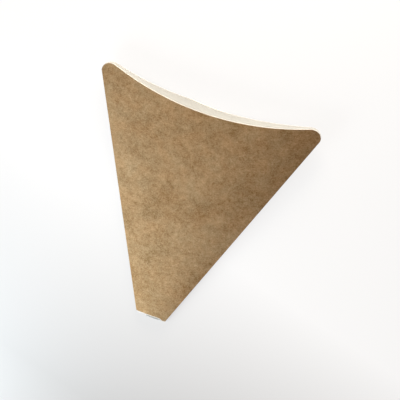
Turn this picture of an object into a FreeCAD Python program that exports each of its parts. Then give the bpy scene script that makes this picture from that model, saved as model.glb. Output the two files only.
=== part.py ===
import FreeCAD, Part
import math
import os

# A flat takeaway cone for a folded crepe. One sheet of kraft board is creased along both sides, and
# its two wings are folded behind the front panel and glued where they lap, near the middle.
# The cone is drawn with the point where its two creases would meet at the origin, Y running along
# its middle to the mouth, X across, and Z out of the front panel. It is then laid on its back.

# Driving dimensions, in millimetres and degrees
BOARD = 0.4
WEDGE_ANGLE = 42.8
TIP_WIDTH = 25.0
TIP_HOLLOW = 0.3
TIP_LEVEL = 2.0
NUB_WIDTH = 5.5
NUB_LENGTH = 1.45
TONGUE_LENGTH = 2.6
TONGUE_SIDE = 2.2
TONGUE_LEFT = -4.6
TONGUE_PEAK = 4.5
PANEL_LENGTH = 185.0
MOUTH_RADIUS = 247.0
MOUTH_OPENING = 15.6
CORNER_RADIUS = 7.3
CORNER_TURN = 10.0
LAP_WIDTH = 24.0
LAP_OFFSET = 3.0
STEP_WIDTH = 22.0
STEP_DEPTH = 1.3
WING_HOLLOW = 0.6
WING_BULGE = 0.6

# Sizes that follow from them
HALF_ANGLE = math.radians(WEDGE_ANGLE / 2)
SIDE_SLOPE = math.tan(HALF_ANGLE)
TIP_Y = (TIP_WIDTH / 2 - BOARD) / SIDE_SLOPE
NEAR_Y = TIP_Y - NUB_LENGTH - 2 * TONGUE_LENGTH
MOUTH_Y = TIP_Y + PANEL_LENGTH
BOW_SLOPE = MOUTH_OPENING / 2 / MOUTH_Y
APEX_SHIFT = BOARD / SIDE_SLOPE
LAP_START = -LAP_WIDTH / 2 - LAP_OFFSET
LAP_END = LAP_WIDTH / 2 - LAP_OFFSET


def point(x, y, z=0.0):
    return FreeCAD.Vector(x, y, z)


LAYER = point(0, 0, BOARD)


def corner_centre():
    """Centre of the right mouth corner: it touches the mouth's curve and turns in off the side fold."""
    inset = CORNER_RADIUS * math.cos(math.radians(CORNER_TURN))
    reach = MOUTH_RADIUS + CORNER_RADIUS
    mouth_centre_y = MOUTH_Y + MOUTH_RADIUS
    across = (mouth_centre_y + APEX_SHIFT) * math.sin(HALF_ANGLE) - inset
    along = (mouth_centre_y + APEX_SHIFT) * math.cos(HALF_ANGLE) - math.sqrt(reach**2 - across**2)
    return point(
        along * math.sin(HALF_ANGLE) - inset * math.cos(HALF_ANGLE),
        along * math.cos(HALF_ANGLE) + inset * math.sin(HALF_ANGLE) - APEX_SHIFT,
    )


FAR_Y = corner_centre().y + 2 * CORNER_RADIUS


def line(start, end):
    return Part.LineSegment(start, end).toShape()


def arc(start, middle, end):
    return Part.Arc(start, middle, end).toShape()


def arc_about(centre, start, end):
    """The shorter arc from start to end about their common centre."""
    half_way = (start - centre).normalize() + (end - centre).normalize()
    return arc(start, centre + start.distanceToPoint(centre) * half_way.normalize(), end)


def arc_radius(reach, rise):
    """Radius of an arc that is level at one end and rises this much over this reach."""
    return (reach**2 + rise**2) / (2 * rise)


def outward(centre, start):
    """One thickness of board further from the centre."""
    return start + BOARD * (start - centre).normalize()


def wing_middle(crease, lap, bulge):
    """Middle of a wing that runs from its crease to the lap, bulged down out of the straight line."""
    across = lap - crease
    down = point(across.z, 0, -across.x).normalize()
    return (crease + lap) / 2 + math.copysign(bulge, -down.z) * down


def centre_through(start, middle, end):
    """Centre of the arc through three points."""
    return arc(start, middle, end).Curve.Center


class Section:
    """The closed form of the front panel, the two wings and the folds in the plane at one Y.

    Each wing is a slight arc from its crease to the flat lap, and both run across the lap."""

    def __init__(self, y):
        half_width = y * SIDE_SLOPE
        bow = y * BOW_SLOPE
        share = y / MOUTH_Y
        self.left_crease = point(-half_width, y)
        self.right_crease = point(half_width, y)
        self.lap_start = point(share * LAP_START, y, -bow)
        self.lap_end = point(share * LAP_END, y, -bow)
        self.front_centre = point(0, y, bow - arc_radius(half_width, bow))
        bulge = share * WING_BULGE
        self.left_middle = wing_middle(self.left_crease, self.lap_start - LAYER, bulge)
        self.right_middle = wing_middle(self.right_crease, self.lap_end, bulge)
        self.left_centre = centre_through(self.left_crease, self.left_middle, self.lap_start - LAYER)
        self.right_centre = centre_through(self.lap_end, self.right_middle, self.right_crease)

    def outside(self):
        """The left wing, lapped over the right wing, and the front panel, with both folds."""
        left_start = outward(self.left_centre, self.left_crease)
        right_end = outward(self.right_centre, self.right_crease)
        front_right = outward(self.front_centre, self.right_crease)
        front_left = outward(self.front_centre, self.left_crease)
        fold_out = point(BOARD, 0)
        return Part.Wire([
            arc(left_start, outward(self.left_centre, self.left_middle), self.lap_start - 2 * LAYER),
            line(self.lap_start - 2 * LAYER, self.lap_end - 2 * LAYER),
            line(self.lap_end - 2 * LAYER, self.lap_end - LAYER),
            arc(self.lap_end - LAYER, outward(self.right_centre, self.right_middle), right_end),
            arc(right_end, self.right_crease + fold_out, front_right),
            arc_about(self.front_centre, front_right, front_left),
            arc(front_left, self.left_crease - fold_out, left_start),
        ])

    def inside(self):
        """The hollow between the front panel and the wings, stepped at the right wing's free edge."""
        return Part.Wire([
            arc(self.left_crease, self.left_middle, self.lap_start - LAYER),
            line(self.lap_start - LAYER, self.lap_start),
            line(self.lap_start, self.lap_end),
            arc(self.lap_end, self.right_middle, self.right_crease),
            arc_about(self.front_centre, self.right_crease, self.left_crease),
        ])


def between(near, far):
    """Solid with straight sides between two sections."""
    return Part.makeLoft([near, far], True, True)


def mirrored(place):
    return point(-place.x, place.y)


def beyond(front_curve, back_curve, sheet_end):
    """All past a curve of the front panel and one of the wings, as far as the sheet's end.

    Both curves run from the left to the right through the same two points."""
    halves = []
    for curve, side in ((front_curve, 1), (back_curve, -1)):
        left = curve[0].firstVertex(True).Point
        right = curve[-1].lastVertex(True).Point
        around = [
            right, point(FAR_Y, right.y), point(FAR_Y, sheet_end), point(-FAR_Y, sheet_end),
            point(-FAR_Y, left.y), left,
        ]
        outline = curve + [line(a, b) for a, b in zip(around, around[1:])]
        halves.append(Part.Face(Part.Wire(outline)).extrude(point(0, 0, side * FAR_Y)))
    return halves[0].fuse(halves[1]).removeSplitter()


def on_mouth(x, shift=0.0):
    """A point of the front panel's mouth curve, or of the same curve moved along Y."""
    return point(x, MOUTH_Y + MOUTH_RADIUS - math.sqrt(MOUTH_RADIUS**2 - x**2) + shift)


def past_the_mouth():
    """The front's mouth curve, the wings' own, and both round corners.

    The left wing's curve is a little hollower, and the right one is cut back beside the lap."""
    centre = corner_centre()
    to_mouth = point(0, MOUTH_Y + MOUTH_RADIUS) - centre
    fold_angle = math.radians(CORNER_TURN) - HALF_ANGLE
    touch_angle = math.atan2(to_mouth.y, to_mouth.x)
    fold_end, middle, touch = [
        centre + CORNER_RADIUS * point(math.cos(angle), math.sin(angle))
        for angle in (fold_angle, (fold_angle + touch_angle) / 2, touch_angle)
    ]
    step_left = on_mouth(-LAP_OFFSET - STEP_WIDTH / 2)
    step_right = on_mouth(-LAP_OFFSET + STEP_WIDTH / 2, -STEP_DEPTH)
    left_middle = on_mouth((step_left.x - touch.x) / 2, -WING_HOLLOW)
    right_middle = on_mouth((step_right.x + touch.x) / 2, -STEP_DEPTH / 3)
    left_corner = arc(mirrored(fold_end), mirrored(middle), mirrored(touch))
    right_corner = arc(touch, middle, fold_end)
    front_curve = [left_corner, arc(mirrored(touch), point(0, MOUTH_Y), touch), right_corner]
    back_curve = [
        left_corner,
        arc(mirrored(touch), left_middle, step_left),
        line(step_left, step_right),
        arc(step_right, right_middle, touch),
        right_corner,
    ]
    return beyond(front_curve, back_curve, 2 * FAR_Y)


def past_the_tip():
    """The front's tip edge, with a nub at the right crease, and the wings' own edge.

    The right wing shows past the front as a low tongue, from left of the middle to the nub."""
    corner = point(-TIP_WIDTH / 2, TIP_Y)
    level_end = point(TIP_LEVEL - TIP_WIDTH / 2, TIP_Y)
    nub_top = point(TIP_WIDTH / 2 - NUB_WIDTH, TIP_Y)
    nub_start = point(TIP_WIDTH / 2 - NUB_WIDTH / 2, TIP_Y - NUB_LENGTH)
    nub_corner = point(TIP_WIDTH / 2, TIP_Y - NUB_LENGTH)
    tongue_start = point(TONGUE_LEFT, TIP_Y)
    tongue_side = point(TONGUE_LEFT, TIP_Y - TONGUE_SIDE)
    tongue_peak = point(TONGUE_PEAK, TIP_Y - TONGUE_LENGTH)
    left_level = line(corner, level_end)
    nub_level = line(nub_start, nub_corner)
    front_middle = point((level_end.x + nub_top.x) / 2, TIP_Y + TIP_HOLLOW)
    front_curve = [left_level, arc(level_end, front_middle, nub_top), line(nub_top, nub_start), nub_level]
    back_curve = [
        left_level,
        line(level_end, tongue_start),
        line(tongue_start, tongue_side),
        line(tongue_side, tongue_peak),
        line(tongue_peak, nub_start),
        nub_level,
    ]
    return beyond(front_curve, back_curve, 0)


def folded_sheet():
    near = Section(NEAR_Y)
    far = Section(FAR_Y)
    block = between(near.outside(), far.outside())
    hollow = between(near.inside(), far.inside())
    return block.cut(hollow).cut(past_the_mouth()).cut(past_the_tip())


def laid_on_its_back(shape):
    """Turned until the back's lowest line is level, with the origin under the middle."""
    shape.rotate(FreeCAD.Vector(), FreeCAD.Vector(1, 0, 0), math.degrees(math.atan(BOW_SLOPE)))
    box = shape.optimalBoundingBox()
    shape.translate(FreeCAD.Vector(-box.Center.x, -box.Center.y, -box.ZMin))
    return shape


os.makedirs("parts", exist_ok=True)
cone = laid_on_its_back(folded_sheet())
cone.exportStep("parts/crepe_cone.step")
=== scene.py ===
"""The looks of a flat takeaway cone for a folded crepe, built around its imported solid."""

import math

import bpy
from mathutils import Matrix, Vector, noise


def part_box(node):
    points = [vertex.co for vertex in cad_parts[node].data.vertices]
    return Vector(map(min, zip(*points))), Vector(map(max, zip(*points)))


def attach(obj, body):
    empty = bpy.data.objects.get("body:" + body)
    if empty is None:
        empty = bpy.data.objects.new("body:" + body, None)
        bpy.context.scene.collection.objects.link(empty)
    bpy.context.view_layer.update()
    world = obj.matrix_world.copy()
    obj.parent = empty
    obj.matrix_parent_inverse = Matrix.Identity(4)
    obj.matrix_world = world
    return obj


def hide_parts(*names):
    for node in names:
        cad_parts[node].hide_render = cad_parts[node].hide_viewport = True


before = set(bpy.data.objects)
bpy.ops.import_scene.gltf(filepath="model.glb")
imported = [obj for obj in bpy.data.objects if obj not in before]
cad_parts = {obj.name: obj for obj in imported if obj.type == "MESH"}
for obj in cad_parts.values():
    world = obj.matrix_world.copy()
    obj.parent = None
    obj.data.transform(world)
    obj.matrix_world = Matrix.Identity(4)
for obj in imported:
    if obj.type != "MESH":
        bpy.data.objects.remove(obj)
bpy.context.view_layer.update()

bl_info = {
    "name": "Paper crepe cone",
    "version": (1, 0, 0),
    "blender": (4, 5, 0),
    "location": "3D View > Sidebar > Crepe cone",
    "description": "Builds a folded kraft board cone and the studio it lies in",
    "category": "Add Mesh",
}

NODE = "crepe_cone"


def metres(name, description, default):
    return bpy.props.FloatProperty(
        name=name, description=description, default=default, subtype="DISTANCE"
    )


def degrees(name, description, default):
    return bpy.props.FloatProperty(
        name=name, description=description, default=math.radians(default), subtype="ANGLE"
    )


def rgb(name, description, default):
    return bpy.props.FloatVectorProperty(
        name=name, description=description, default=default, size=3, subtype="COLOR"
    )


class ConeSizes(bpy.types.PropertyGroup):
    """Sizes of the folded board, as in the part's source."""

    board: metres("Board", "Thickness of the board", 0.0004)
    wedge_angle: degrees("Wedge angle", "Angle between the two creases", 42.8)
    tip_width: metres("Tip width", "Width of the cut-off tip", 0.025)
    tip_hollow: metres("Tip hollow", "How far the front's tip edge curves in", 0.0003)
    tip_level: metres(
        "Tip level", "Straight length of the tip edge beside the left crease", 0.002
    )
    nub_width: metres("Nub width", "Width of the nub at the tip's right corner", 0.0055)
    nub_length: metres("Nub length", "How far the nub sticks out past the tip edge", 0.00145)
    tongue_length: metres(
        "Tongue length", "How far the right wing's tongue reaches past the front's tip edge", 0.0026
    )
    tongue_side: metres("Tongue side", "Length of the tongue's left side", 0.0022)
    tongue_left: metres(
        "Tongue left", "Place of the tongue's left side across the cone", -0.0046
    )
    tongue_peak: metres("Tongue peak", "Place of the tongue's peak across the cone", 0.0045)
    panel_length: metres("Panel length", "Front panel's length along its middle", 0.185)
    mouth_radius: metres("Mouth radius", "Radius of the mouth's hollow curve", 0.247)
    mouth_opening: metres(
        "Mouth opening", "Depth of the hollow at the middle of the mouth", 0.0156
    )
    corner_radius: metres("Corner radius", "Radius of the mouth's two corners", 0.0073)
    corner_turn: degrees("Corner turn", "How sharply each corner turns in off its crease", 10.0)
    lap_width: metres("Lap width", "Width of the wings' glued lap at the mouth", 0.024)
    lap_offset: metres(
        "Lap offset", "Distance of the lap's middle left of the cone's middle, at the mouth", 0.003
    )
    step_width: metres(
        "Step width", "Width over which the wings' mouth edge steps down", 0.022
    )
    step_depth: metres("Step depth", "Height of the step in the wings' mouth edge", 0.0013)
    wing_hollow: metres(
        "Wing hollow", "How much hollower the left wing's mouth edge is than the front's", 0.0006
    )
    wing_bulge: metres(
        "Wing bulge", "How far each wing bulges out of a straight line, at the mouth", 0.0006
    )
    edge_softness: metres("Edge softness", "Rounding of the cut edges", 0.00014)
    waviness: metres("Waviness", "Height of the board's slight unevenness", 0.00022)


class ConeFinish(bpy.types.PropertyGroup):
    """Colours of the board."""

    kraft: rgb("Kraft face", "Brown outer face", (0.555, 0.372, 0.191))
    kraft_deep: rgb("Kraft shade", "Darker fibres of the brown face", (0.245, 0.133, 0.043))
    kraft_fleck: rgb("Kraft flecks", "Paler clumps of fibre", (0.56, 0.38, 0.20))
    dark_speck: rgb("Dark specks", "Bits of bark in the brown face", (0.08, 0.045, 0.02))
    pale_speck: rgb("Pale specks", "Bits of straw in the brown face", (0.62, 0.47, 0.30))
    worn_crease: rgb("Worn creases", "Brown face rubbed pale on the creases", (0.60, 0.46, 0.31))
    frayed_edge: rgb("Frayed edge", "Brown face's rim along the cuts", (0.78, 0.71, 0.60))
    cream: rgb("Cream face", "Pale inner face", (0.866, 0.855, 0.81))
    cream_speck: rgb("Cream specks", "Bits of straw in the pale face", (0.45, 0.33, 0.20))
    # Painted shade: a dark grey on the inner face beside the tip's edge, standing in for the shade
    # under the front panel
    tip_shade_paint: rgb("Bare pulp", "Uncoated margin inside the tip", (0.33, 0.315, 0.265))
    cut: rgb("Cut edge", "Pale core that shows along the cut edges", (0.52, 0.46, 0.38))


class ConeStage(bpy.types.PropertyGroup):
    """Light, floor and camera."""

    light: bpy.props.FloatProperty(
        name="Light", description="Level of all the lamps together", default=1.0, min=0.0
    )
    fill_strength: bpy.props.FloatProperty(
        name="Fill", description="Strength of the light from all round", default=0.13, min=0.0
    )
    fill_colour: rgb("Fill colour", "Colour of the light from all round", (1.0, 0.53, 0.24))
    lens: bpy.props.FloatProperty(
        name="Lens", description="Focal length in millimetres", default=180.0
    )


class Outline:
    """Plan of the cone: its creases would meet at the origin, and Y runs to the mouth."""

    def __init__(self, sizes):
        self.sizes = sizes
        self.half_angle = sizes.wedge_angle / 2
        self.slope = math.tan(self.half_angle)
        self.tip_y = (sizes.tip_width / 2 - sizes.board) / self.slope
        self.mouth_y = self.tip_y + sizes.panel_length
        self.bow_slope = sizes.mouth_opening / 2 / self.mouth_y
        self.inset = sizes.corner_radius * math.cos(sizes.corner_turn)
        self.corner = self.corner_centre()
        self.lap_start = -sizes.lap_width / 2 - sizes.lap_offset
        self.lap_end = sizes.lap_width / 2 - sizes.lap_offset
        to_mouth = Vector((0, self.mouth_y + sizes.mouth_radius)) - self.corner
        self.touch = self.corner + sizes.corner_radius * to_mouth.normalized()

    def corner_centre(self):
        sizes = self.sizes
        reach = sizes.mouth_radius + sizes.corner_radius
        centre_y = self.mouth_y + sizes.mouth_radius + sizes.board / self.slope
        across = centre_y * math.sin(self.half_angle) - self.inset
        along = centre_y * math.cos(self.half_angle) - math.sqrt(reach**2 - across**2)
        return Vector((
            along * math.sin(self.half_angle) - self.inset * math.cos(self.half_angle),
            along * math.cos(self.half_angle) + self.inset * math.sin(self.half_angle)
            - sizes.board / self.slope,
        ))

    def wing_shift(self, x):
        """How far the wings' mouth edge lies past the front's: cut back, and most on the right."""
        sizes = self.sizes
        left = -sizes.lap_offset - sizes.step_width / 2
        right = -sizes.lap_offset + sizes.step_width / 2
        if x < left:
            part = (x + self.touch.x) / (left + self.touch.x)
            return -4 * sizes.wing_hollow * part * (1 - part)
        if x > right:
            part = (self.touch.x - x) / (self.touch.x - right)
            return -sizes.step_depth * part * (part + 1) / 2
        return -sizes.step_depth * (x - left) / (right - left)

    def past_mouth(self, x, y, on_wing):
        """Whether a place of the panel or of a wing lies past the mouth's curve."""
        sizes = self.sizes
        if abs(x) > self.touch.x:
            return (Vector((abs(x), y)) - self.corner).length > sizes.corner_radius
        edge = self.mouth_y + sizes.mouth_radius - math.sqrt(sizes.mouth_radius**2 - x**2)
        if on_wing:
            edge += self.wing_shift(x)
        return y > edge

    def tip_edge(self, x, on_wing):
        """Y of the tip's edge: hollow on the front, with a nub on the right and a tongue behind."""
        sizes = self.sizes
        left_level = sizes.tip_level - sizes.tip_width / 2
        nub_top = sizes.tip_width / 2 - sizes.nub_width
        nub_start = nub_top + sizes.nub_width / 2
        if x <= left_level:
            return self.tip_y
        if x >= nub_start:
            return self.tip_y - sizes.nub_length
        if on_wing:
            if x <= sizes.tongue_left:
                return self.tip_y
            if x <= sizes.tongue_peak:
                part = (x - sizes.tongue_left) / (sizes.tongue_peak - sizes.tongue_left)
                growth = sizes.tongue_length - sizes.tongue_side
                return self.tip_y - sizes.tongue_side - part * growth
            part = (x - sizes.tongue_peak) / (nub_start - sizes.tongue_peak)
            drop = sizes.tongue_length - sizes.nub_length
            return self.tip_y - sizes.tongue_length + part * drop
        if x >= nub_top:
            return self.tip_y - sizes.nub_length * (x - nub_top) / (nub_start - nub_top)
        across = (2 * x - left_level - nub_top) / (nub_top - left_level)
        return self.tip_y + sizes.tip_hollow * (1 - across**2)


def arc_radius(reach, rise):
    """Radius of an arc that is level at one end and rises this much over this reach."""
    return (reach**2 + rise**2) / (2 * rise)


class WingArc:
    """Outer face of a wing: an arc from its crease to the lap, bulged out of a straight line."""

    def __init__(self, crease, lap, bulge, board):
        across = lap - crease
        down = Vector((across.y, -across.x)).normalized()
        if down.y > 0:
            down.negate()
        self.radius = arc_radius(across.length / 2, bulge)
        self.centre = (crease + lap) / 2 + (bulge - self.radius) * down
        self.board = board
        self.crease_angle = self.angle_to(crease)
        self.lap_angle = self.angle_to(lap)

    def angle_to(self, place):
        """Angle from straight down to a place, about the arc's centre."""
        across = place - self.centre
        return math.atan2(across.x, -across.y)

    def at(self, part):
        """Place on the outer face, from the crease at 0 to the lap at 1."""
        angle = self.crease_angle + part * (self.lap_angle - self.crease_angle)
        return (
            self.centre.x + (self.radius + self.board) * math.sin(angle),
            self.centre.y - (self.radius + self.board) * math.cos(angle),
        )


class Section:
    """Outer face of the folded board in the plane at one Y, from one free edge to the other."""

    def __init__(self, outline, y):
        sizes = outline.sizes
        self.board = sizes.board
        self.half_width = y * outline.slope
        self.bow = y * outline.bow_slope
        share = y / outline.mouth_y
        self.lap_start = share * outline.lap_start
        self.lap_end = share * outline.lap_end
        self.front_radius = arc_radius(self.half_width, self.bow)
        self.front_angle = math.asin(self.half_width / self.front_radius)
        bulge = share * sizes.wing_bulge
        left_lap = Vector((self.lap_start, -self.bow - self.board))
        right_lap = Vector((self.lap_end, -self.bow))
        self.left_arc = WingArc(Vector((-self.half_width, 0)), left_lap, bulge, self.board)
        self.right_arc = WingArc(Vector((self.half_width, 0)), right_lap, bulge, self.board)

    def left_lap(self, part):
        return self.lap_end + part * (self.lap_start - self.lap_end), -self.bow - 2 * self.board

    def left_wing(self, part):
        return self.left_arc.at(1 - part)

    def left_fold(self, part):
        start = -math.pi / 2 - self.left_arc.crease_angle
        angle = start + part * (math.pi / 2 - self.front_angle - start)
        return -self.half_width - self.board * math.cos(angle), self.board * math.sin(angle)

    def front(self, part):
        angle = (2 * part - 1) * self.front_angle
        radius = self.front_radius + self.board
        return radius * math.sin(angle), self.bow - self.front_radius + radius * math.cos(angle)

    def right_fold(self, part):
        start = math.pi / 2 - self.front_angle
        angle = start + part * (self.right_arc.crease_angle - math.pi / 2 - start)
        return self.half_width + self.board * math.cos(angle), self.board * math.sin(angle)

    def right_wing(self, part):
        return self.right_arc.at(part)

    def right_lap(self, part):
        return self.lap_end + part * (self.lap_start - self.lap_end), -self.bow - self.board


# The sheet's stretches from one free edge to the other, each with its number of columns
STRETCHES = (
    ("left_lap", 10),
    ("left_wing", 26),
    ("left_fold", 8),
    ("front", 64),
    ("right_fold", 8),
    ("right_wing", 26),
    ("right_lap", 10),
)
PANELS = ("left_wing", "front", "right_wing")
ROWS = 72


def columns():
    """(stretch, part of it, place across the sheet) for each column of the sheet's mesh.

    The panels' columns crowd at the creases, where the corners are round."""
    made = []
    for index, (name, count) in enumerate(STRETCHES):
        last = index == len(STRETCHES) - 1
        for i in range(count + (1 if last else 0)):
            part = i / count
            if name in PANELS:
                part = (1 - math.cos(math.pi * part)) / 2
            made.append((name, part, index + part))
    return made


# Rounds in which each end of a column closes in on its edge
TIP_TRIES = 6
MOUTH_TRIES = 40


def column_ends(outline, name, part):
    """The Y where a column leaves the tip's edge and the Y where it meets the mouth's."""
    on_wing = name != "front"
    near = outline.tip_y
    for _ in range(TIP_TRIES):
        x, _height = getattr(Section(outline, near), name)(part)
        near = outline.tip_edge(x, on_wing)
    low = outline.corner.y - 2 * outline.sizes.corner_radius
    at_corner, _height = getattr(Section(outline, outline.corner.y), name)(part)
    if abs(at_corner) > outline.touch.x - outline.sizes.corner_radius:
        # Beside a crease the search starts where the corner's arc leaves the crease
        low = outline.corner.y - outline.inset * math.sin(outline.half_angle)
    high = outline.corner.y + 2 * outline.sizes.corner_radius
    for _ in range(MOUTH_TRIES):
        middle = (low + high) / 2
        x, _height = getattr(Section(outline, middle), name)(part)
        if outline.past_mouth(x, middle, on_wing):
            high = middle
        else:
            low = middle
    return near, low


def activate(piece):
    bpy.ops.object.select_all(action="DESELECT")
    piece.select_set(True)
    bpy.context.view_layer.objects.active = piece


def apply_modifiers(piece):
    activate(piece)
    for modifier in list(piece.modifiers):
        bpy.ops.object.modifier_apply(modifier=modifier.name)


# Waves of the unevenness: how many per metre across and along, where in the noise, and their share
WAVES = ((14, 11, 3.1, 1.0), (38, 30, 7.7, 0.35))


def wave(outline, x, y, name, part):
    """Slight unevenness of a panel, none at its creases and at the lap."""
    if name not in PANELS:
        return 0.0
    hold = 4 * part * (1 - part)
    side = 0 if name == "front" else 1
    height = sum(
        share * noise.noise(Vector((x * across, y * along, layer + side)))
        for across, along, layer, share in WAVES
    )
    return outline.sizes.waviness * hold * height


def fold_sheet(sheet, outline):
    """Moves each point of the flat sheet to its place on the folded board's outer face."""
    places = columns()
    ends = [column_ends(outline, name, part) for name, part, _across in places]
    tilt = Matrix.Rotation(math.atan(outline.bow_slope), 3, "X")
    width = len(places)
    sheet_uv = {}
    for vertex in sheet.data.vertices:
        column = vertex.index % width
        row = vertex.index // width
        name, part, across = places[column]
        near, far = ends[column]
        along = row / ROWS
        y = near + along * (far - near)
        x, z = getattr(Section(outline, y), name)(part)
        lift = wave(outline, x, y, name, part)
        z += lift if name == "front" else -lift
        vertex.co = tilt @ Vector((x, y, z))
        sheet_uv[vertex.index] = (across / len(STRETCHES), along)
    return sheet_uv


def settle(sheet):
    """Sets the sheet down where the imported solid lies."""
    points = [vertex.co for vertex in sheet.data.vertices]
    low = Vector([min(point[axis] for point in points) for axis in range(3)])
    high = Vector([max(point[axis] for point in points) for axis in range(3)])
    cad_low, cad_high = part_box(NODE)
    middle = (cad_low + cad_high) / 2 - (low + high) / 2
    sheet.data.transform(Matrix.Translation((middle.x, middle.y, cad_low.z - low.z)))


def unfold_uv(sheet, sheet_uv):
    layer = sheet.data.uv_layers.active or sheet.data.uv_layers.new(name="Sheet")
    layer.name = "Sheet"
    for loop in sheet.data.loops:
        layer.data[loop.index].uv = sheet_uv[loop.vertex_index]


# Full-coloured core of a speck, as a part of its size
SPECK_CORE = 0.4


class Nodes:
    """Shorthand for building one material's nodes."""

    def __init__(self, name):
        self.material = bpy.data.materials.new(name)
        self.material.use_nodes = True
        self.tree = self.material.node_tree
        self.tree.nodes.clear()

    def add(self, kind, inputs=None, **settings):
        made = self.tree.nodes.new(kind)
        for key, value in settings.items():
            setattr(made, key, value)
        for key, value in (inputs or {}).items():
            self.feed(made.inputs[key], value)
        return made

    def feed(self, socket, value):
        if isinstance(value, bpy.types.NodeSocket):
            self.tree.links.new(value, socket)
        else:
            socket.default_value = value

    def math(self, operation, *values):
        made = self.add("ShaderNodeMath", operation=operation)
        for socket, value in zip(made.inputs, values):
            self.feed(socket, value)
        return made.outputs[0]

    def mix(self, factor, first, second, blend="MIX"):
        made = self.add("ShaderNodeMix", data_type="RGBA", blend_type=blend)
        self.feed(made.inputs["Factor"], factor)
        self.feed(made.inputs["A"], first)
        self.feed(made.inputs["B"], second)
        return made.outputs["Result"]

    def ramp(self, value, low, high, to_low=0.0, to_high=1.0):
        made = self.add(
            "ShaderNodeMapRange",
            {
                "Value": value,
                "From Min": low,
                "From Max": high,
                "To Min": to_low,
                "To Max": to_high,
            },
            clamp=True,
        )
        return made.outputs["Result"]

    def place(self, stretch=(1, 1, 1), turn=0.0):
        where = self.add("ShaderNodeTexCoord").outputs["Object"]
        made = self.add("ShaderNodeMapping", {"Vector": where})
        made.inputs["Scale"].default_value = stretch
        made.inputs["Rotation"].default_value = (0, 0, turn)
        return made.outputs["Vector"]

    def sheet_place(self):
        """Place across the sheet, counted in stretches, and from the tip at 0 to the mouth at 1."""
        sheet = self.add("ShaderNodeUVMap", uv_map="Sheet").outputs["UV"]
        split = self.add("ShaderNodeSeparateXYZ", {"Vector": sheet})
        return self.math("MULTIPLY", split.outputs["X"], len(STRETCHES)), split.outputs["Y"]

    def noise(self, where, scale, detail, roughness=0.5, distortion=0.0):
        made = self.add(
            "ShaderNodeTexNoise",
            {
                "Vector": where,
                "Scale": scale,
                "Detail": detail,
                "Roughness": roughness,
                "Distortion": distortion,
            },
        )
        return made.outputs["Fac"]

    def specks(self, where, scale, size, rarity, strength):
        """Round specks, one in a few of the cells that a pattern of points makes."""
        cells = self.add("ShaderNodeTexVoronoi", {"Vector": where, "Scale": scale})
        spot = self.ramp(cells.outputs["Distance"], size, size * SPECK_CORE)
        chosen = self.add("ShaderNodeSeparateColor", {"Color": cells.outputs["Color"]})
        picked = self.math("GREATER_THAN", chosen.outputs[0], rarity)
        return self.math("MULTIPLY", self.math("MULTIPLY", spot, picked), strength)

    def finish(self, shader_inputs, height, strength, distance):
        """The material, with its surface roughened by the height."""
        bump = self.add(
            "ShaderNodeBump", {"Height": height, "Strength": strength, "Distance": distance}
        )
        shader = self.add("ShaderNodeBsdfPrincipled", shader_inputs)
        self.tree.links.new(bump.outputs["Normal"], shader.inputs["Normal"])
        out = self.add("ShaderNodeOutputMaterial")
        self.tree.links.new(shader.outputs["BSDF"], out.inputs["Surface"])
        return self.material


def opaque(colour):
    return (*colour, 1.0)


# Clouds in the brown pulp: how fine, how strong and how swirled
PULP_LAYERS = (
    (1500, 0.69, 0),
    (720, 0.58, 0),
    (330, 0.52, 0.4),
    (150, 0.54, 0.6),
    (62, 0.46, 0.5),
    (26, 0.45, 0),
)
PULP_MIDDLE = 0.39
PULP_DETAIL = 0.5
FIBRE_STRENGTH = 0.46
FLECK_STRENGTH = 0.5
WARM_TINT = (1.03, 0.99, 0.95)
COOL_TINT = (0.98, 1.01, 1.03)
CREASE_WEAR = 0.4
EDGE_WEAR = 0.9
# The tip's and the mouth's frayed rims: where each starts and is full, as parts of the length
TIP_RIM = (0.0036, 0.0018)
MOUTH_RIM = (0.9986, 0.9993)
# The same for the painted shade inside the tip: a dark grey margin of the inner face beside the
# tip's edge
TIP_SHADE_MARGIN = (0.021, 0.017)
TIP_SHADE_STRENGTH = 0.95


def pulp_tone(nodes, where):
    """Cloudy pulp in several sizes, from 0 where it is dark to 1 where it is pale."""
    tone = PULP_MIDDLE - sum(weight for _scale, weight, _swirl in PULP_LAYERS) / 2
    for scale, weight, swirl in PULP_LAYERS:
        layer = nodes.noise(where, scale, detail=PULP_DETAIL, distortion=swirl)
        tone = nodes.math("MULTIPLY_ADD", layer, weight, tone)
    return tone


def short_fibres(nodes):
    """Fibres that lie along the cone and across it, about 0."""
    along = nodes.place(stretch=(1, 0.16, 1), turn=0.12)
    across = nodes.place(stretch=(0.2, 1, 1), turn=0.5)
    along = nodes.noise(along, scale=2100, detail=2, roughness=0.7)
    across = nodes.noise(across, scale=1700, detail=2, roughness=0.7)
    return nodes.math(
        "ADD", nodes.math("SUBTRACT", along, 0.5), nodes.math("SUBTRACT", across, 0.5)
    )


def crease_wear(nodes, across, tone):
    """Strength of the wear on both folds, most of it where the pulp is pale."""
    names = [name for name, _count in STRETCHES]
    left, right = [
        nodes.math("ABSOLUTE", nodes.math("SUBTRACT", across, names.index(name) + 0.5))
        for name in ("left_fold", "right_fold")
    ]
    on_fold = nodes.ramp(nodes.math("MINIMUM", left, right), low=0.5, high=0.2)
    worn = nodes.math("MULTIPLY", on_fold, nodes.ramp(tone, low=0.27, high=0.62))
    return nodes.math("MULTIPLY", worn, CREASE_WEAR)


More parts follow.
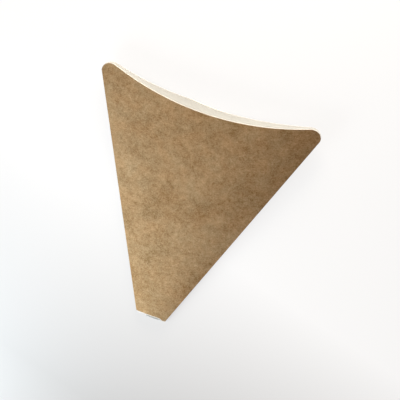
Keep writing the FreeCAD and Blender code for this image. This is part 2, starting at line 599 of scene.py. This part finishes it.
def kraft_face(finish):
    """Brown uncoated kraft: cloudy pulp, short fibres, specks, and worn creases and rims."""
    nodes = Nodes("kraft_face")
    where = nodes.place()
    strands = short_fibres(nodes)
    tone = nodes.math("MULTIPLY_ADD", strands, FIBRE_STRENGTH, pulp_tone(nodes, where))
    colour = nodes.mix(tone, opaque(finish.kraft_deep), opaque(finish.kraft))
    flecks = nodes.noise(where, scale=1150, detail=1.0, distortion=1.6)
    flecks = nodes.math("MULTIPLY", nodes.ramp(flecks, low=0.52, high=0.70), FLECK_STRENGTH)
    colour = nodes.mix(flecks, colour, opaque(finish.kraft_fleck))
    hue = nodes.noise(nodes.place(turn=0.4), scale=75, detail=2, roughness=0.6)
    tint = nodes.mix(nodes.ramp(hue, low=0.35, high=0.65), opaque(WARM_TINT), opaque(COOL_TINT))
    colour = nodes.mix(1.0, colour, tint, "MULTIPLY")
    dark = nodes.specks(where, scale=210, size=0.13, rarity=0.975, strength=0.6)
    colour = nodes.mix(dark, colour, opaque(finish.dark_speck))
    straw = nodes.place(stretch=(1, 0.4, 1), turn=0.7)
    pale = nodes.specks(straw, scale=330, size=0.16, rarity=0.95, strength=0.25)
    colour = nodes.mix(pale, colour, opaque(finish.pale_speck))
    across, along = nodes.sheet_place()
    colour = nodes.mix(crease_wear(nodes, across, tone), colour, opaque(finish.worn_crease))
    rims = nodes.math("MAXIMUM", nodes.ramp(along, *TIP_RIM), nodes.ramp(along, *MOUTH_RIM))
    frayed = nodes.math("MULTIPLY", rims, EDGE_WEAR)
    colour = nodes.mix(frayed, colour, opaque(finish.frayed_edge))
    return nodes.finish(
        {
            "Base Color": colour,
            "Roughness": nodes.ramp(tone, low=0.15, high=0.62, to_low=0.74, to_high=0.88),
            "Specular IOR Level": 0.15,
            "Sheen Weight": 0.03,
            "Sheen Roughness": 0.5,
        },
        height=nodes.math("ADD", strands, tone),
        strength=0.3,
        distance=0.00004,
    )


def cream_face(finish):
    """Pale greaseproof inner face: smooth and satin, with shade painted as a dark grey margin
    beside the tip's edge.
    """
    nodes = Nodes("cream_face")
    where = nodes.place()
    cloud = nodes.noise(where, scale=45, detail=4, roughness=0.6)
    grain = nodes.noise(where, scale=1400, detail=2, roughness=0.6)
    tone = nodes.math(
        "ADD",
        nodes.ramp(cloud, low=0.3, high=0.7, to_high=0.6),
        nodes.ramp(grain, low=0.3, high=0.7, to_high=0.4),
    )
    deep = [0.90 * channel for channel in finish.cream]
    colour = nodes.mix(tone, opaque(deep), opaque(finish.cream))
    straw = nodes.specks(where, scale=260, size=0.12, rarity=0.95, strength=0.35)
    colour = nodes.mix(straw, colour, opaque(finish.cream_speck))
    _across, along = nodes.sheet_place()
    # Painted shade: the inner face is darkened grey beside the tip's edge
    margin = nodes.ramp(along, *TIP_SHADE_MARGIN, to_high=TIP_SHADE_STRENGTH)
    colour = nodes.mix(margin, colour, opaque(finish.tip_shade_paint))
    return nodes.finish(
        {
            "Base Color": colour,
            "Roughness": nodes.ramp(cloud, low=0.3, high=0.7, to_low=0.5, to_high=0.62),
            "Specular IOR Level": 0.45,
        },
        height=nodes.math("MULTIPLY_ADD", grain, 0.5, cloud),
        strength=0.2,
        distance=0.00003,
    )


def cut_edge(finish):
    """Open fibres of the board's core along the cuts."""
    nodes = Nodes("cut_edge")
    fibres = nodes.noise(nodes.place(stretch=(1, 1, 3)), scale=1500, detail=3, roughness=0.7)
    brown = [0.75 * channel for channel in finish.cut]
    colour = nodes.mix(nodes.ramp(fibres, low=0.25, high=0.6), opaque(brown), opaque(finish.cut))
    return nodes.finish(
        {"Base Color": colour, "Roughness": 0.92, "Specular IOR Level": 0.2},
        height=fibres,
        strength=0.5,
        distance=0.00006,
    )


# Places of the two later materials among the board's three
INNER_FACE = 1
CUT_EDGE = 2
EDGE_SEGMENTS = 2
SHARP_ANGLE = math.radians(50)
SMOOTH_ANGLE = math.radians(40)


class MakeCone(bpy.types.Operator):
    """Fold the board: one sheet, creased along both sides, lapped and glued behind"""

    bl_idname = "crepe_cone.make_cone"
    bl_label = "Fold the cone"
    bl_options = {"REGISTER", "UNDO"}

    def execute(self, context):
        sizes = context.scene.crepe_cone_sizes
        finish = context.scene.crepe_cone_finish
        outline = Outline(sizes)
        bpy.ops.object.select_all(action="DESELECT")
        bpy.ops.mesh.primitive_grid_add(
            x_subdivisions=len(columns()) - 1, y_subdivisions=ROWS, size=1
        )
        sheet = context.active_object
        sheet.name = "folded_board"
        sheet.data.name = "folded_board"
        if len(sheet.data.vertices) != len(columns()) * (ROWS + 1):
            raise RuntimeError("the flat sheet has another number of points than the folded one")
        unfold_uv(sheet, fold_sheet(sheet, outline))
        settle(sheet)
        for material in (kraft_face(finish), cream_face(finish), cut_edge(finish)):
            sheet.data.materials.append(material)
        board = sheet.modifiers.new("board", "SOLIDIFY")
        board.thickness = sizes.board
        board.offset = -1
        board.use_even_offset = True
        board.material_offset = INNER_FACE
        board.material_offset_rim = CUT_EDGE
        soft = sheet.modifiers.new("soft_edges", "BEVEL")
        soft.width = sizes.edge_softness
        soft.segments = EDGE_SEGMENTS
        soft.material = CUT_EDGE
        soft.limit_method = "ANGLE"
        soft.angle_limit = SHARP_ANGLE
        apply_modifiers(sheet)
        bpy.ops.object.shade_smooth_by_angle(angle=SMOOTH_ANGLE)
        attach(sheet, "root")
        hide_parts(NODE)
        return {"FINISHED"}


def soft_light(name, azimuth, elevation, distance, size, power, colour):
    """Round lamp pointed at the cone's middle. Both angles are in degrees."""
    turn = math.radians(azimuth)
    height = math.radians(elevation)
    place = distance * Vector((
        math.cos(height) * math.sin(turn),
        math.cos(height) * math.cos(turn),
        math.sin(height),
    ))
    data = bpy.data.lights.new(name, "AREA")
    data.shape = "DISK"
    data.size = size
    data.energy = power
    data.color = colour
    light = bpy.data.objects.new(name, data)
    light.location = place
    light.rotation_euler = (-place).to_track_quat("-Z", "Y").to_euler()
    bpy.context.scene.collection.objects.link(light)


def light_cone(level):
    """A strong low lamp before the mouth, a cool one left of the tip, and a faint one above it."""
    soft_light(
        "mouth",
        azimuth=353,
        elevation=8,
        distance=0.60,
        size=0.30,
        power=9.6 * level,
        colour=(1.03, 1.0, 0.95),
    )
    soft_light(
        "key",
        azimuth=223,
        elevation=25,
        distance=0.32,
        size=0.22,
        power=1.58 * level,
        colour=(0.845, 1.025, 1.2),
    )
    soft_light(
        "top",
        azimuth=192,
        elevation=45,
        distance=0.30,
        size=0.20,
        power=0.07 * level,
        colour=(1.3, 1.0, 0.88),
    )


FLOOR_SIZE = 6
# How fast the floor's tone, with its painted falloff, changes along X, as a part of how fast it
# does along Y
FLOOR_SLANT = 0.3
# The floor's colour as it throws light back at the cone, and as the camera sees the lamps' light
# and the cone's shadow on it
FLOOR_BOUNCE = (0.8, 0.8, 0.8)
FLOOR_SHADED = (0.163, 0.152, 0.138)


def floor_material():
    """Pale seamless paper: the camera sees it pale, with painted shade that darkens it towards -Y
    and -X, and the cone's shadow stays on it.
    """
    nodes = Nodes("pale_floor")
    camera = nodes.add("ShaderNodeLightPath").outputs["Is Camera Ray"]
    where = nodes.add("ShaderNodeTexCoord").outputs["Object"]
    split = nodes.add("ShaderNodeSeparateXYZ", {"Vector": where})
    slant = nodes.math("MULTIPLY_ADD", split.outputs["X"], FLOOR_SLANT, split.outputs["Y"])
    # Painted shade: the glow falls from 0.84 to 0.41 towards -Y and -X, a painted falloff of the
    # light on the floor
    tone = nodes.ramp(slant, low=-0.20, high=-0.02, to_low=0.41, to_high=0.84)
    lit = nodes.add("ShaderNodeBsdfDiffuse", {"Color": opaque(FLOOR_BOUNCE)})
    glow_with_painted_falloff = nodes.add("ShaderNodeEmission", {"Color": (1, 1, 1, 1), "Strength": tone})
    shaded = nodes.add("ShaderNodeBsdfDiffuse", {"Color": opaque(FLOOR_SHADED)})
    seen = nodes.add("ShaderNodeAddShader")
    nodes.tree.links.new(glow_with_painted_falloff.outputs[0], seen.inputs[0])
    nodes.tree.links.new(shaded.outputs[0], seen.inputs[1])
    mix = nodes.add("ShaderNodeMixShader")
    nodes.tree.links.new(camera, mix.inputs[0])
    nodes.tree.links.new(lit.outputs[0], mix.inputs[1])
    nodes.tree.links.new(seen.outputs[0], mix.inputs[2])
    out = nodes.add("ShaderNodeOutputMaterial")
    nodes.tree.links.new(mix.outputs[0], out.inputs["Surface"])
    return nodes.material


SENSOR_WIDTH = 36
CLIP_END = 20
# The camera's place and its axes in the scene
CAMERA_PLACE = (0.14862, 0.65728, 1.391)
CAMERA_RIGHT = (0.94426919, 0.25294568, -0.21065178)
CAMERA_UP = (-0.31690642, 0.87163543, -0.37392779)
CAMERA_BACK = (0.08902813, 0.4198454, 0.9032186)


class MakeStage(bpy.types.Operator):
    """Pale floor, soft studio light and the camera"""

    bl_idname = "crepe_cone.make_stage"
    bl_label = "Set the stage"
    bl_options = {"REGISTER", "UNDO"}

    def execute(self, context):
        stage = context.scene.crepe_cone_stage
        bpy.ops.object.select_all(action="DESELECT")
        bpy.ops.mesh.primitive_plane_add(size=FLOOR_SIZE)
        floor = context.active_object
        floor.name = "floor"
        floor.data.materials.append(floor_material())
        light_cone(stage.light)
        world = bpy.data.worlds.new("studio")
        world.use_nodes = True
        background = world.node_tree.nodes["Background"]
        background.inputs["Color"].default_value = opaque(stage.fill_colour)
        background.inputs["Strength"].default_value = stage.fill_strength
        context.scene.world = world
        data = bpy.data.cameras.new("camera")
        data.lens = stage.lens
        data.sensor_width = SENSOR_WIDTH
        data.clip_end = CLIP_END
        camera = bpy.data.objects.new("camera", data)
        axes = Matrix((CAMERA_RIGHT, CAMERA_UP, CAMERA_BACK)).transposed().to_4x4()
        camera.matrix_world = Matrix.Translation(CAMERA_PLACE) @ axes
        context.scene.collection.objects.link(camera)
        context.scene.camera = camera
        context.scene.view_settings.view_transform = "Standard"
        return {"FINISHED"}


class ConePanel(bpy.types.Panel):
    """Sizes, colours and steps of the crepe cone"""

    bl_idname = "VIEW3D_PT_crepe_cone"
    bl_label = "Crepe cone"
    bl_space_type = "VIEW_3D"
    bl_region_type = "UI"
    bl_category = "Crepe cone"

    def draw(self, context):
        for group in ("crepe_cone_sizes", "crepe_cone_finish", "crepe_cone_stage"):
            box = self.layout.box()
            settings = getattr(context.scene, group)
            for name in settings.__annotations__:
                box.prop(settings, name)
        self.layout.operator(MakeCone.bl_idname)
        self.layout.operator(MakeStage.bl_idname)


CLASSES = (ConeSizes, ConeFinish, ConeStage, MakeCone, MakeStage, ConePanel)


def register():
    for cls in CLASSES:
        bpy.utils.register_class(cls)
    bpy.types.Scene.crepe_cone_sizes = bpy.props.PointerProperty(type=ConeSizes)
    bpy.types.Scene.crepe_cone_finish = bpy.props.PointerProperty(type=ConeFinish)
    bpy.types.Scene.crepe_cone_stage = bpy.props.PointerProperty(type=ConeStage)


def unregister():
    del bpy.types.Scene.crepe_cone_stage
    del bpy.types.Scene.crepe_cone_finish
    del bpy.types.Scene.crepe_cone_sizes
    for cls in reversed(CLASSES):
        bpy.utils.unregister_class(cls)


def main():
    register()
    bpy.ops.crepe_cone.make_cone()
    bpy.ops.crepe_cone.make_stage()


if __name__ == "__main__":
    main()
